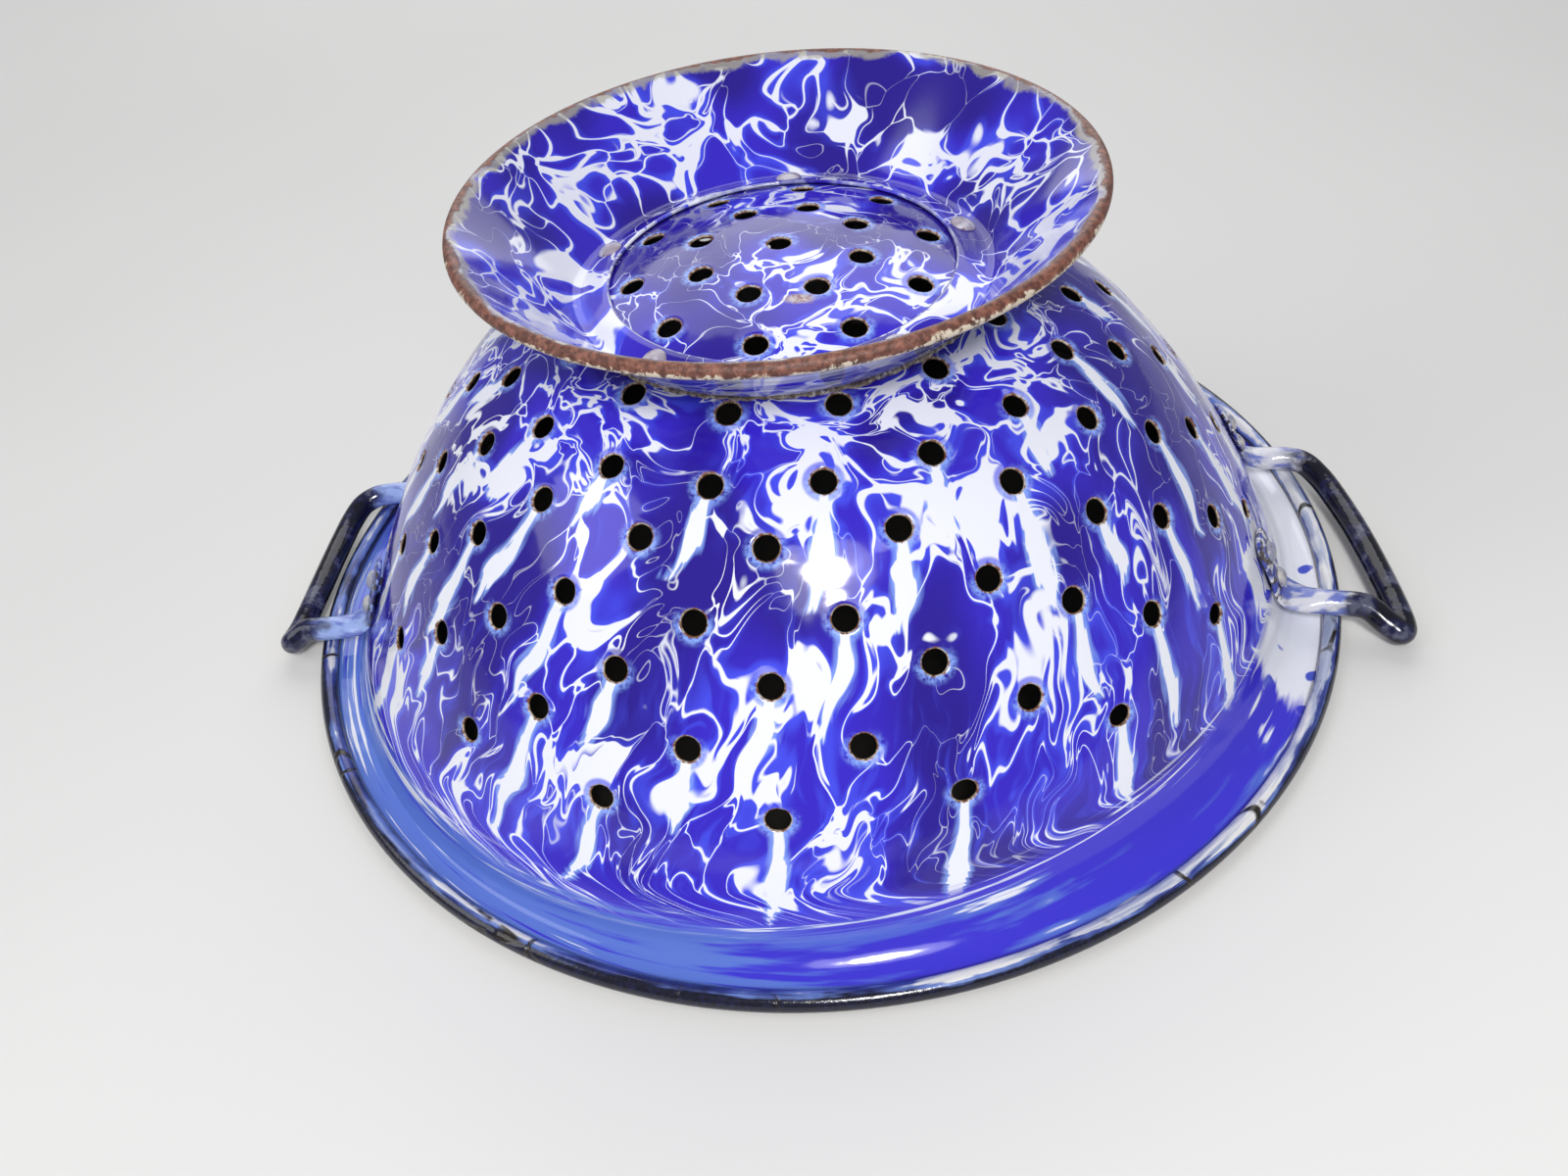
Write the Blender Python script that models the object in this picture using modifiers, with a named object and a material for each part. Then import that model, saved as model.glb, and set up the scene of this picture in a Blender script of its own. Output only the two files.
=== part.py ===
"""Footed enamelware colander, standing upside down on its rim.

The bowl is one spun sheet: a domed bottom, a rounded shoulder, a bowed wall, a flat
rim flange and an edge curled up over a wire.  It is punched all over.  A flared foot
is riveted round the dome, and two wire handles are riveted to the wall by their
flattened ends.  The origin is the middle of the rim's plane, +Z runs up to the foot
and the handles stand on +X and -X.
"""
import math

import bmesh
import bpy
from mathutils import Matrix, Vector

MM = 0.001
GAP = 0.3 * MM
SHEET = 0.9 * MM
TURN_STEPS = 48

# Bowl: three arcs that run into each other, measured on the outside of the sheet.
# An arc ends at the angle between its outward normal and +Z.
RIM_RADIUS = 133.5 * MM
BOWL_HEIGHT = 96.6 * MM
DOME_RADIUS = 131.6 * MM
DOME_END = math.radians(30.5)
SHOULDER_RADIUS = 61.5 * MM
SHOULDER_END = math.radians(47.3)
WALL_RADIUS = 192.0 * MM
FLANGE_FILLET = 4.0 * MM
RIM_BEAD_RADIUS = 2.2 * MM
RIM_CURL_TURN = math.radians(280)

# Rings of holes, from the middle out: distance from the axis, count, angle of the first.
HOLE_RADIUS = 2.6 * MM
HOLE_SIDES = 8
HOLE_RINGS = (
    (19.2 * MM, 8, math.radians(28.5)),
    (33.8 * MM, 10, math.radians(12.8)),
    (50.1 * MM, 14, math.radians(3.6)),
    (64.6 * MM, 18, math.radians(0)),
    (74.8 * MM, 18, math.radians(10)),
    (85.3 * MM, 18, math.radians(0)),
    (92.8 * MM, 18, math.radians(10)),
    (100.5 * MM, 18, math.radians(0)),
    (107.8 * MM, 18, math.radians(10)),
)

# Foot: a flange lying on the dome, a flared wall and a lip curled outwards.
FOOT_HEIGHT = 111.7 * MM
FOOT_LIP_RADIUS = 71.2 * MM
FOOT_FLANGE_INNER = 39.6 * MM
FOOT_CORNER_RADIUS = 47.8 * MM
FOOT_CORNER_FILLET = 2.5 * MM
FOOT_BEAD_RADIUS = 1.6 * MM
FOOT_FLARE = math.radians(45)

# Rivets: a shank with a flat-bottomed round head outside and a smaller one inside.
SHANK_RADIUS = 1.4 * MM
FOOT_RIVET_COUNT = 5
FOOT_RIVET_RING = 42.9 * MM
FOOT_RIVET_START = math.radians(19.4)
FOOT_RIVET_HEAD = 3.1 * MM
EAR_RIVET_HEAD = 2.5 * MM
EAR_RIVET_HEIGHTS = (14.0 * MM, 21.5 * MM)
RIVET_STEPS = 8
RIVET_HEAD_HEIGHT = 1.4 * MM
RIVET_TAIL_HEIGHT = 0.9 * MM
RIVET_EDGE = 0.25 * MM

# Handles: round rod whose ends are beaten into ears on the wall.
ROD_RADIUS = 3.1 * MM
EAR_AZIMUTH = math.radians(13)
EAR_HALF_WIDTH = 5.5 * MM
EAR_HALF_THICK = 0.9 * MM
EAR_CLEARANCE = 0.45 * MM
EAR_LINE_HEIGHTS = (26.5 * MM, 23.0 * MM, 17.0 * MM, 11.0 * MM)
ROD_SIDES = 10
ROUTE_STEPS = 3
EAR_SECTIONS = 9
NECK_SECTIONS = 6
EAR_TILT = (0.9, 0.42)

# Middle of each handle's rod between its two ears, in millimetres, for a handle on +X.
# The loops were bent by hand and differ: the right one leans forward, the left one hugs
# the rim.
RIGHT_LOOP = (
    (120.5, 27.6, 8.4), (126.8, 27.0, 8.4), (131.8, 25.0, 8.3), (135.2, 20.0, 7.2),
    (137.6, 12.5, 6.3), (140.2, -1.0, 5.6), (142.0, -17.0, 5.0), (143.0, -31.0, 4.4),
    (142.2, -35.6, 4.3), (139.0, -33.6, 5.6), (134.6, -30.4, 7.9), (127.3, -29.2, 8.4),
    (120.5, -27.6, 8.4),
)
LEFT_LOOP = (
    (120.5, 27.6, 8.4), (127.3, 28.8, 8.4), (132.6, 29.0, 8.1), (136.3, 30.6, 6.2),
    (137.6, 29.4, 4.7), (137.0, 24.0, 4.6), (136.4, 13.0, 5.4), (136.2, 0.0, 5.8),
    (136.0, -10.5, 6.0), (135.2, -17.5, 6.7), (133.4, -22.8, 7.7), (130.0, -25.8, 8.3),
    (126.0, -26.8, 8.4), (120.5, -27.6, 8.4),
)


def normal(angle):
    """Outward direction in the profile plane, at this angle from +Z."""
    return Vector((math.sin(angle), math.cos(angle)))


def arc(centre, radius, start, end, steps):
    """Profile points on an arc, both ends included."""
    return [centre + radius * normal(start + (end - start) * i / steps) for i in range(steps + 1)]


DOME_CENTRE = Vector((0, BOWL_HEIGHT - DOME_RADIUS))
SHOULDER_CENTRE = DOME_CENTRE + (DOME_RADIUS - SHOULDER_RADIUS) * normal(DOME_END)
WALL_CENTRE = SHOULDER_CENTRE + (SHOULDER_RADIUS - WALL_RADIUS) * normal(SHOULDER_END)
WALL_END = math.acos((SHEET + FLANGE_FILLET - WALL_CENTRE.y) / (WALL_RADIUS + FLANGE_FILLET))
BOWL_ARCS = (
    (DOME_CENTRE, DOME_RADIUS, DOME_END),
    (SHOULDER_CENTRE, SHOULDER_RADIUS, SHOULDER_END),
    (WALL_CENTRE, WALL_RADIUS, WALL_END),
)


def bowl_point(angle, lift=0.0):
    """Profile point over the bowl's outside where its normal has this angle."""
    for centre, radius, end in BOWL_ARCS:
        if angle <= end:
            return centre + (radius + lift) * normal(angle)
    raise ValueError("angle is past the end of the wall")


def angle_at_radius(distance):
    """Angle of the bowl's normal at this distance from the axis."""
    for centre, radius, end in BOWL_ARCS:
        if distance <= (centre + radius * normal(end)).x:
            return math.asin((distance - centre.x) / radius)
    raise ValueError("distance is past the end of the wall")


def angle_at_height(height):
    """Angle of the wall's normal at this height."""
    return math.acos((height - WALL_CENTRE.y) / WALL_RADIUS)


def frame_on_bowl(angle, azimuth, lift=0.0):
    """Matrix with its origin over the bowl's outside, +Z outwards and +X along the ring."""
    point = bowl_point(angle, lift)
    spin = Matrix.Rotation(azimuth, 4, "Z")
    tilt = Matrix.Rotation(angle, 4, "Y")
    quarter = Matrix.Rotation(math.pi / 2, 4, "Z")
    return spin @ Matrix.Translation((point.x, 0, point.y)) @ tilt @ quarter


def new_collection(name):
    collection = bpy.data.collections.new(name)
    bpy.context.scene.collection.children.link(collection)
    return collection


def new_material(name, colour, roughness, metallic):
    material = bpy.data.materials.new(name)
    material.use_nodes = True
    shader = material.node_tree.nodes["Principled BSDF"]
    shader.inputs["Base Color"].default_value = (*colour, 1.0)
    shader.inputs["Roughness"].default_value = roughness
    shader.inputs["Metallic"].default_value = metallic
    material.diffuse_color = (*colour, 1.0)
    return material


def new_object(name, mesh, collection, material=None):
    piece = bpy.data.objects.new(name, mesh)
    collection.objects.link(piece)
    if material and not mesh.materials:
        mesh.materials.append(material)
    return piece


def mesh_from_bmesh(name, body):
    mesh = bpy.data.meshes.new(name)
    body.to_mesh(mesh)
    body.free()
    return mesh


def profile_mesh(name, points):
    """Open line of edges in the XZ plane, for a Screw modifier to turn."""
    body = bmesh.new()
    line = [body.verts.new((point[0], 0, point[1])) for point in points]
    for first, second in zip(line, line[1:]):
        body.edges.new((first, second))
    return mesh_from_bmesh(name, body)


def turn(piece, steps):
    screw = piece.modifiers.new("turn", "SCREW")
    screw.angle = 2 * math.pi
    screw.steps = steps
    screw.render_steps = steps
    screw.use_merge_vertices = True
    screw.merge_threshold = 0.00001
    screw.use_smooth_shade = True


def thicken(piece):
    shell = piece.modifiers.new("sheet", "SOLIDIFY")
    shell.thickness = SHEET
    shell.offset = 0.0
    shell.use_even_offset = True


def punch(piece, cutter):
    cut = piece.modifiers.new("holes", "BOOLEAN")
    cut.operation = "DIFFERENCE"
    cut.solver = "EXACT"
    cut.object = cutter


def round_cutter(name, frames, radius, sides, depth, collection):
    """One hidden mesh of separate pegs, a peg through each frame along its Z."""
    body = bmesh.new()
    for frame in frames:
        bmesh.ops.create_cone(
            body, cap_ends=True, segments=sides, radius1=radius, radius2=radius,
            depth=depth, matrix=frame,
        )
    cutter = new_object(name, mesh_from_bmesh(name, body), collection)
    cutter.hide_render = True
    cutter.display_type = "WIRE"
    return cutter


def hole_frames():
    frames = [frame_on_bowl(0.0, 0.0)]
    for distance, count, first in HOLE_RINGS:
        angle = angle_at_radius(distance)
        for number in range(count):
            frames.append(frame_on_bowl(angle, first + 2 * math.pi * number / count))
    return frames


def foot_rivet_frames():
    angle = angle_at_radius(FOOT_RIVET_RING)
    step = 2 * math.pi / FOOT_RIVET_COUNT
    return [frame_on_bowl(angle, FOOT_RIVET_START + step * i) for i in range(FOOT_RIVET_COUNT)]


def ear_rivet_frames(handle_azimuth):
    frames = []
    for side in (-1, 1):
        for height in EAR_RIVET_HEIGHTS:
            angle = angle_at_height(height)
            frames.append(frame_on_bowl(angle, handle_azimuth + side * EAR_AZIMUTH))
    return frames


def bowl_profile():
    """Middle of the bowl's sheet, from the dome's top to the end of the rim's curl."""
    half = SHEET / 2
    points = arc(DOME_CENTRE, DOME_RADIUS - half, 0.0, DOME_END, 5)
    points += arc(SHOULDER_CENTRE, SHOULDER_RADIUS - half, DOME_END, SHOULDER_END, 2)[1:]
    points += arc(WALL_CENTRE, WALL_RADIUS - half, SHOULDER_END, WALL_END, 5)[1:]
    fillet = bowl_point(WALL_END) + FLANGE_FILLET * normal(WALL_END)
    points += arc(fillet, -(FLANGE_FILLET + half), WALL_END, 0.0, 3)[1:]
    bead = Vector((RIM_RADIUS - RIM_BEAD_RADIUS, RIM_BEAD_RADIUS))
    points += arc(bead, RIM_BEAD_RADIUS - half, math.pi, math.pi - RIM_CURL_TURN, 8)
    return points


def foot_profile():
    """Middle of the foot's sheet, from the flange's inner edge to the end of the lip's curl."""
    half = SHEET / 2
    lift = GAP + half
    reach = DOME_RADIUS + lift
    flange_start = math.asin(FOOT_FLANGE_INNER / reach)
    flange_end = math.asin((FOOT_CORNER_RADIUS - FOOT_CORNER_FILLET) / reach)
    points = arc(DOME_CENTRE, reach, flange_start, flange_end, 2)
    corner = points[-1] + (FOOT_CORNER_FILLET + half) * normal(flange_end)
    wall_normal = -FOOT_FLARE
    points += arc(corner, -(FOOT_CORNER_FILLET + half), flange_end, wall_normal, 3)[1:]
    facet = math.radians(40)
    curl = FOOT_BEAD_RADIUS - half
    top_of_facet = curl * math.cos(facet / 2) + half
    bead = Vector((FOOT_LIP_RADIUS - FOOT_BEAD_RADIUS, FOOT_HEIGHT - top_of_facet))
    points += [bead + curl * normal(wall_normal)]
    points += arc(bead, curl, -facet / 2, -facet / 2 + 6 * facet, 6)
    return points


def make_bowl(parts, cutters):
    material = new_material("bowl_enamel", (0.030, 0.035, 0.42), 0.14, 0.0)
    bowl = new_object("bowl", profile_mesh("bowl", bowl_profile()), parts, material)
    turn(bowl, TURN_STEPS)
    thicken(bowl)
    depth = 8 * SHEET
    punch(bowl, round_cutter("holes", hole_frames(), HOLE_RADIUS, HOLE_SIDES, depth, cutters))
    rivets = foot_rivet_frames() + ear_rivet_frames(0.0) + ear_rivet_frames(math.pi)
    clearance = SHANK_RADIUS + GAP
    punch(bowl, round_cutter("bowl_rivet_holes", rivets, clearance, HOLE_SIDES, depth, cutters))


def make_rim_wire(parts):
    material = new_material("rim_wire_steel", (0.16, 0.14, 0.13), 0.45, 1.0)
    bpy.ops.mesh.primitive_torus_add(
        major_segments=TURN_STEPS, minor_segments=6,
        major_radius=RIM_RADIUS - RIM_BEAD_RADIUS,
        minor_radius=RIM_BEAD_RADIUS - SHEET - 1.5 * GAP,
        location=(0, 0, RIM_BEAD_RADIUS),
    )
    wire = bpy.context.object
    wire.name = "rim_wire"
    for collection in list(wire.users_collection):
        collection.objects.unlink(wire)
    parts.objects.link(wire)
    wire.data.materials.append(material)
    wire.data.shade_smooth()


def make_foot(parts, cutters):
    material = new_material("foot_enamel", (0.30, 0.34, 0.62), 0.18, 0.0)
    foot = new_object("foot", profile_mesh("foot", foot_profile()), parts, material)
    turn(foot, TURN_STEPS)
    thicken(foot)
    clearance = SHANK_RADIUS + GAP
    pegs = round_cutter(
        "foot_rivet_holes", foot_rivet_frames(), clearance, HOLE_SIDES, 8 * SHEET, cutters)
    punch(foot, pegs)


def rivet_mesh(name, head_radius, grip, material):
    """Turned rivet: its origin is on the bowl's outside, and grip is what lies over that."""
    head = grip + GAP
    tail = -SHEET - 2 * GAP
    points = [
        (0, head + RIVET_HEAD_HEIGHT),
        (0.6 * head_radius, head + 0.75 * RIVET_HEAD_HEIGHT),
        (head_radius, head + RIVET_EDGE),
        (head_radius, head),
        (SHANK_RADIUS, head),
        (SHANK_RADIUS, tail),
        (0.8 * head_radius, tail),
        (0.8 * head_radius, tail - RIVET_EDGE),
        (0, tail - RIVET_TAIL_HEIGHT),
    ]
    body = bpy.data.objects.new(name, profile_mesh(name, points))
    bpy.context.scene.collection.objects.link(body)
    turn(body, RIVET_STEPS)
    graph = bpy.context.evaluated_depsgraph_get()
    mesh = bpy.data.meshes.new_from_object(body.evaluated_get(graph))
    bpy.data.objects.remove(body)
    mesh.name = name
    mesh.materials.append(material)
    mesh.set_sharp_from_angle(angle=math.radians(35))
    return mesh


def make_rivets(parts):
    foot_material = new_material("foot_rivet_enamel", (0.55, 0.50, 0.42), 0.35, 0.0)
    foot_mesh = rivet_mesh("foot_rivet", FOOT_RIVET_HEAD, GAP + SHEET, foot_material)
    for number, frame in enumerate(foot_rivet_frames(), 1):
        rivet = new_object(f"foot_rivet_{number}", foot_mesh, parts)
        rivet.matrix_world = frame
    ear_material = new_material("ear_rivet_enamel", (0.50, 0.47, 0.40), 0.30, 0.0)
    ear_grip = EAR_CLEARANCE + 2 * EAR_HALF_THICK
    ear_mesh = rivet_mesh("ear_rivet", EAR_RIVET_HEAD, ear_grip, ear_material)
    for side, azimuth in (("right", 0.0), ("left", math.pi)):
        for number, frame in enumerate(ear_rivet_frames(azimuth), 1):
            rivet = new_object(f"ear_rivet_{side}_{number}", ear_mesh, parts)
            rivet.matrix_world = frame


def smooth_route(points, steps):
    """Catmull-Rom curve through all the points."""
    ends = [2 * points[0] - points[1], *points, 2 * points[-1] - points[-2]]
    route = []
    for before, start, end, after in zip(ends, ends[1:], ends[2:], ends[3:]):
        for i in range(steps):
            t = i / steps
            bend = (2 * before - 5 * start + 4 * end - after) * t * t
            twist = (3 * start - before - 3 * end + after) * t * t * t
            route.append(0.5 * (2 * start + (end - before) * t + bend + twist))
    route.append(points[-1])
    return route


def ear_line(side):
    """Middle of the ear on this side of the handle, from its tip down to the leg."""
    lift = EAR_CLEARANCE + EAR_HALF_THICK
    line = []
    for height in EAR_LINE_HEIGHTS:
        point = bowl_point(angle_at_height(height), lift)
        across = side * math.sin(EAR_AZIMUTH) * point.x
        line.append(Vector((math.cos(EAR_AZIMUTH) * point.x, across, point.y)))
    return line


def smooth_share(value):
    value = min(max(value, 0.0), 1.0)
    return value * value * (3 - 2 * value)


def handle_section(route, i):
    """One ring of the loft: wide and thin on an ear, round on the rod."""
    last = len(route) - 1
    from_end = min(i, last - i)
    side = 1 if i < last / 2 else -1
    along = (route[min(i + 1, last)] - route[max(i - 1, 0)]).normalized()
    out, up = EAR_TILT
    off_wall = Vector((out * math.cos(EAR_AZIMUTH), side * out * math.sin(EAR_AZIMUTH), up))
    lean = smooth_share((from_end - EAR_SECTIONS) / (0.8 * NECK_SECTIONS))
    face = off_wall.lerp(Vector((0, 0, 1)), lean)
    face = (face - along * along.dot(face)).normalized()
    width = along.cross(face)
    share = smooth_share((from_end - EAR_SECTIONS) / NECK_SECTIONS)
    half_width = EAR_HALF_WIDTH * (1 - share) + ROD_RADIUS * share
    half_width *= min(1.0, 0.55 + 0.25 * from_end)
    half_thick = EAR_HALF_THICK * (1 - share) + ROD_RADIUS * share
    ring = []
    for number in range(ROD_SIDES):
        turn_by = 2 * math.pi * (number + 0.5) / ROD_SIDES
        across = width * half_width * math.cos(turn_by)
        ring.append(route[i] + across + face * half_thick * math.sin(turn_by))
    return ring


def handle_mesh(name, loop, material):
    """Loft from one ear's tip along the bent rod to the other ear's tip."""
    points = ear_line(1) + [Vector(point) * MM for point in loop] + ear_line(-1)[::-1]
    route = smooth_route(points, ROUTE_STEPS)
    body = bmesh.new()
    rings = []
    for i in range(len(route)):
        rings.append([body.verts.new(point) for point in handle_section(route, i)])
    for first, second in zip(rings, rings[1:]):
        for i in range(ROD_SIDES):
            j = (i + 1) % ROD_SIDES
            body.faces.new((first[i], first[j], second[j], second[i]))
    body.faces.new(list(reversed(rings[0])))
    body.faces.new(rings[-1])
    bmesh.ops.recalc_face_normals(body, faces=body.faces)
    mesh = mesh_from_bmesh(name, body)
    mesh.shade_smooth()
    mesh.set_sharp_from_angle(angle=math.radians(50))
    mesh.materials.append(material)
    return mesh


def make_handles(parts, cutters):
    material = new_material("handle_enamel", (0.012, 0.013, 0.045), 0.12, 0.0)
    for side, azimuth, loop in (("right", 0.0, RIGHT_LOOP), ("left", math.pi, LEFT_LOOP)):
        handle = new_object(f"handle_{side}", handle_mesh(f"handle_{side}", loop, material), parts)
        handle.rotation_euler = (0, 0, azimuth)
        pegs = round_cutter(
            f"ear_holes_{side}", ear_rivet_frames(azimuth), SHANK_RADIUS + GAP, HOLE_SIDES,
            12 * SHEET, cutters)
        punch(handle, pegs)


for old in list(bpy.data.objects):
    bpy.data.objects.remove(old)
PARTS = new_collection("enamel_colander")
CUTTERS = new_collection("cutters")
make_bowl(PARTS, CUTTERS)
make_rim_wire(PARTS)
make_foot(PARTS, CUTTERS)
make_handles(PARTS, CUTTERS)
make_rivets(PARTS)
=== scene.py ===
"""Footed enamelware colander standing upside down on its rim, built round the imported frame.

Lengths are in metres and angles in radians.  The origin is the middle of the rim's
plane, +Z runs up to the foot, and the two handles stand on +X and -X.
"""
import math

import bpy
import numpy as np
from mathutils import Matrix, Vector


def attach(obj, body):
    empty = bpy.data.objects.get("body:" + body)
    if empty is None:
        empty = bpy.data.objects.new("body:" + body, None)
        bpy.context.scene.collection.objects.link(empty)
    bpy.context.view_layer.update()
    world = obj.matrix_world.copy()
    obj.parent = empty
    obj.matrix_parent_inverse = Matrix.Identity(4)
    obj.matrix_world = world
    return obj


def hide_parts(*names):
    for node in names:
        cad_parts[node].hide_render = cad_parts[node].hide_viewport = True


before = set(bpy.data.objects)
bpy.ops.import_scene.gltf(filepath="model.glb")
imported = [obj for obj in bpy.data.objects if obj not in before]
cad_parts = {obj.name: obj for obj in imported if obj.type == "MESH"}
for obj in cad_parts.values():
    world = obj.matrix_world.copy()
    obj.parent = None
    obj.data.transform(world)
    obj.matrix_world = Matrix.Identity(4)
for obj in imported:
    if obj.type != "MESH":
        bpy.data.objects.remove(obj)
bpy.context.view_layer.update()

# Bowl.  One spun sheet of steel: domed bottom, rounded shoulder, bowed wall and flat
# flange, its edge curled up over a wire.  It was punched all over, then coated: cobalt
# and white enamel swirled together outside, plain inside, black round the rim.
MM = 0.001
SHEET = 0.9 * MM
RIM_RADIUS = 133.5 * MM
BOWL_HEIGHT = 96.6 * MM
DOME_RADIUS = 131.6 * MM
DOME_END = math.radians(30.5)
SHOULDER_RADIUS = 61.5 * MM
SHOULDER_END = math.radians(47.3)
WALL_RADIUS = 192.0 * MM
PLAIN_WALL_TOP = math.radians(60.0)
BEAD_RADIUS = 2.2 * MM
RIM_CURL = math.radians(280)
TIGHT_FILLET = 3.0 * MM
WIDE_FILLET = 14.0 * MM
WIDE_FILLET_SIDE = math.radians(-38)
LOW_FLARE = 2.6 * MM
LOW_FLARE_SIDE = math.radians(-140)
HOLE_RADIUS = 2.6 * MM
HOLE_LIP = 0.12 * MM
LIP_MIDDLE = 0.45 * MM
LIP_WIDTH = 0.5 * MM
HOLE_RINGS = (
    (19.2 * MM, 8, 28.5), (33.8 * MM, 10, 12.8), (50.1 * MM, 14, 3.6),
    (64.6 * MM, 18, 0.0), (74.8 * MM, 18, 10.0), (85.3 * MM, 18, 0.0),
    (92.8 * MM, 18, 10.0), (100.5 * MM, 18, 0.0), (107.8 * MM, 18, 10.0),
)
AROUND = 252
CELL_SIDE = 6
CELL_ROWS = np.array([0, 0.05, 0.16, 0.36, 0.65, 1.0])
INNER_ROWS = np.array([0.25, 0.6, 1.0])
CURL_ROWS = 17
MIDDLE_CELL_SHIFT = 1.5 * MM
LAST_CELL_REACH = 6.5 * MM
EDGE_TURN = np.radians([45.0, 90.0, 135.0, 180.0])
FAR_FROM_HOLES = 99.0
DOME_STEPS, SHOULDER_STEPS, WALL_STEPS, LOW_WALL_STEPS = 280, 72, 168, 132
FILLET_STEPS, FLANGE_STEPS, CURL_STEPS = 60, 40, 80


def outward(angle):
    """Unit vectors (sin angle, cos angle) in the profile plane."""
    return np.stack([np.sin(angle), np.cos(angle)], axis=-1)


def arc(centre, radius, start, end, count):
    """Points centre + radius * outward(angle) with their angles, count steps after the first."""
    angles = np.linspace(start, end, count + 1)
    return centre + radius * outward(angles), angles


def joined(stretches):
    """Points and angles of stretches that each start where the one before ends."""
    return [np.concatenate([stretches[0][i]] + [stretch[i][1:] for stretch in stretches[1:]])
            for i in (0, 1)]


DOME_CENTRE = np.array([0.0, BOWL_HEIGHT - DOME_RADIUS])
SHOULDER_CENTRE = DOME_CENTRE + (DOME_RADIUS - SHOULDER_RADIUS) * outward(DOME_END)
WALL_CENTRE = SHOULDER_CENTRE + (SHOULDER_RADIUS - WALL_RADIUS) * outward(SHOULDER_END)
BEAD_CENTRE = np.array([RIM_RADIUS - BEAD_RADIUS, BEAD_RADIUS])


def bowl_profile(fillet):
    """Outside of the sheet from pole to curled edge: dome, shoulder and wall arcs, a concave
    fillet of this radius, the flat flange, and the inside of the curl.  Columns are the
    distance from the axis, the height and the angle of the outward normal from +Z."""
    wall_end = math.acos((SHEET + fillet - WALL_CENTRE[1]) / (WALL_RADIUS + fillet))
    fillet_centre = WALL_CENTRE + (WALL_RADIUS + fillet) * outward(wall_end)
    stretches = [
        arc(DOME_CENTRE, DOME_RADIUS, 0.0, DOME_END, DOME_STEPS),
        arc(SHOULDER_CENTRE, SHOULDER_RADIUS, DOME_END, SHOULDER_END, SHOULDER_STEPS),
        arc(WALL_CENTRE, WALL_RADIUS, SHOULDER_END, PLAIN_WALL_TOP, WALL_STEPS),
        arc(WALL_CENTRE, WALL_RADIUS, PLAIN_WALL_TOP, wall_end, LOW_WALL_STEPS),
        arc(fillet_centre, -fillet, wall_end, 0.0, FILLET_STEPS),
    ]
    flat = np.linspace(fillet_centre[0], BEAD_CENTRE[0], FLANGE_STEPS + 1)
    stretches.append((np.stack([flat, SHEET + 0 * flat], axis=-1), 0 * flat))
    stretches.append(arc(BEAD_CENTRE, SHEET - BEAD_RADIUS, 0.0, -RIM_CURL, CURL_STEPS))
    return np.column_stack(joined(stretches))


TIGHT_PROFILE = bowl_profile(TIGHT_FILLET)
WIDE_PROFILE = bowl_profile(WIDE_FILLET)
STATION = np.arange(len(TIGHT_PROFILE), dtype=float)
FILLET_STATION = float(DOME_STEPS + SHOULDER_STEPS + WALL_STEPS + LOW_WALL_STEPS)
FLANGE_STATION = FILLET_STATION + FILLET_STEPS
CURL_STATION = FLANGE_STATION + FLANGE_STEPS
LAST_STATION = STATION[-1]
FLARE_STATION = 580.0
FLARE_END = CURL_STATION - 12.0
FLARE_FADE = 60.0
RUN = np.concatenate([[0.0], np.cumsum(np.hypot(*np.diff(TIGHT_PROFILE[:, :2], axis=0).T))])


def lobe(azimuth, middle, sharpness):
    """Smooth bump round the axis: ((1 + cos(azimuth - middle)) / 2) to a power."""
    return (0.5 + 0.5 * np.cos(azimuth - middle)) ** sharpness


def ease(share):
    """Smooth rise from 0 to 1."""
    share = np.clip(share, 0, 1)
    return share * share * (3 - 2 * share)


def on_bowl(azimuth, station, depth=0.0):
    """Point of the sheet at this azimuth, profile station and depth under its outside.  Round
    the axis the profile runs between the tight and the wide fillet, and the foot of the wall
    is drawn out a little on one side, as the hand-spun sheet is."""
    width = lobe(azimuth, WIDE_FILLET_SIDE, 3)
    tight = [np.interp(station, STATION, TIGHT_PROFILE[:, i]) for i in range(3)]
    wide = [np.interp(station, STATION, WIDE_PROFILE[:, i]) for i in range(3)]
    radius, height, angle = [a + (b - a) * width for a, b in zip(tight, wide)]
    spread = ease((station - FLARE_STATION) / (FILLET_STATION - FLARE_STATION))
    spread = spread * np.clip((FLARE_END - station) / FLARE_FADE, 0, 1)
    radius = radius + LOW_FLARE * spread * lobe(azimuth, LOW_FLARE_SIDE, 4)
    radius = radius - depth * np.sin(angle)
    height = height - depth * np.cos(angle)
    return np.stack([radius * np.cos(azimuth), radius * np.sin(azimuth), height], axis=-1)


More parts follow.
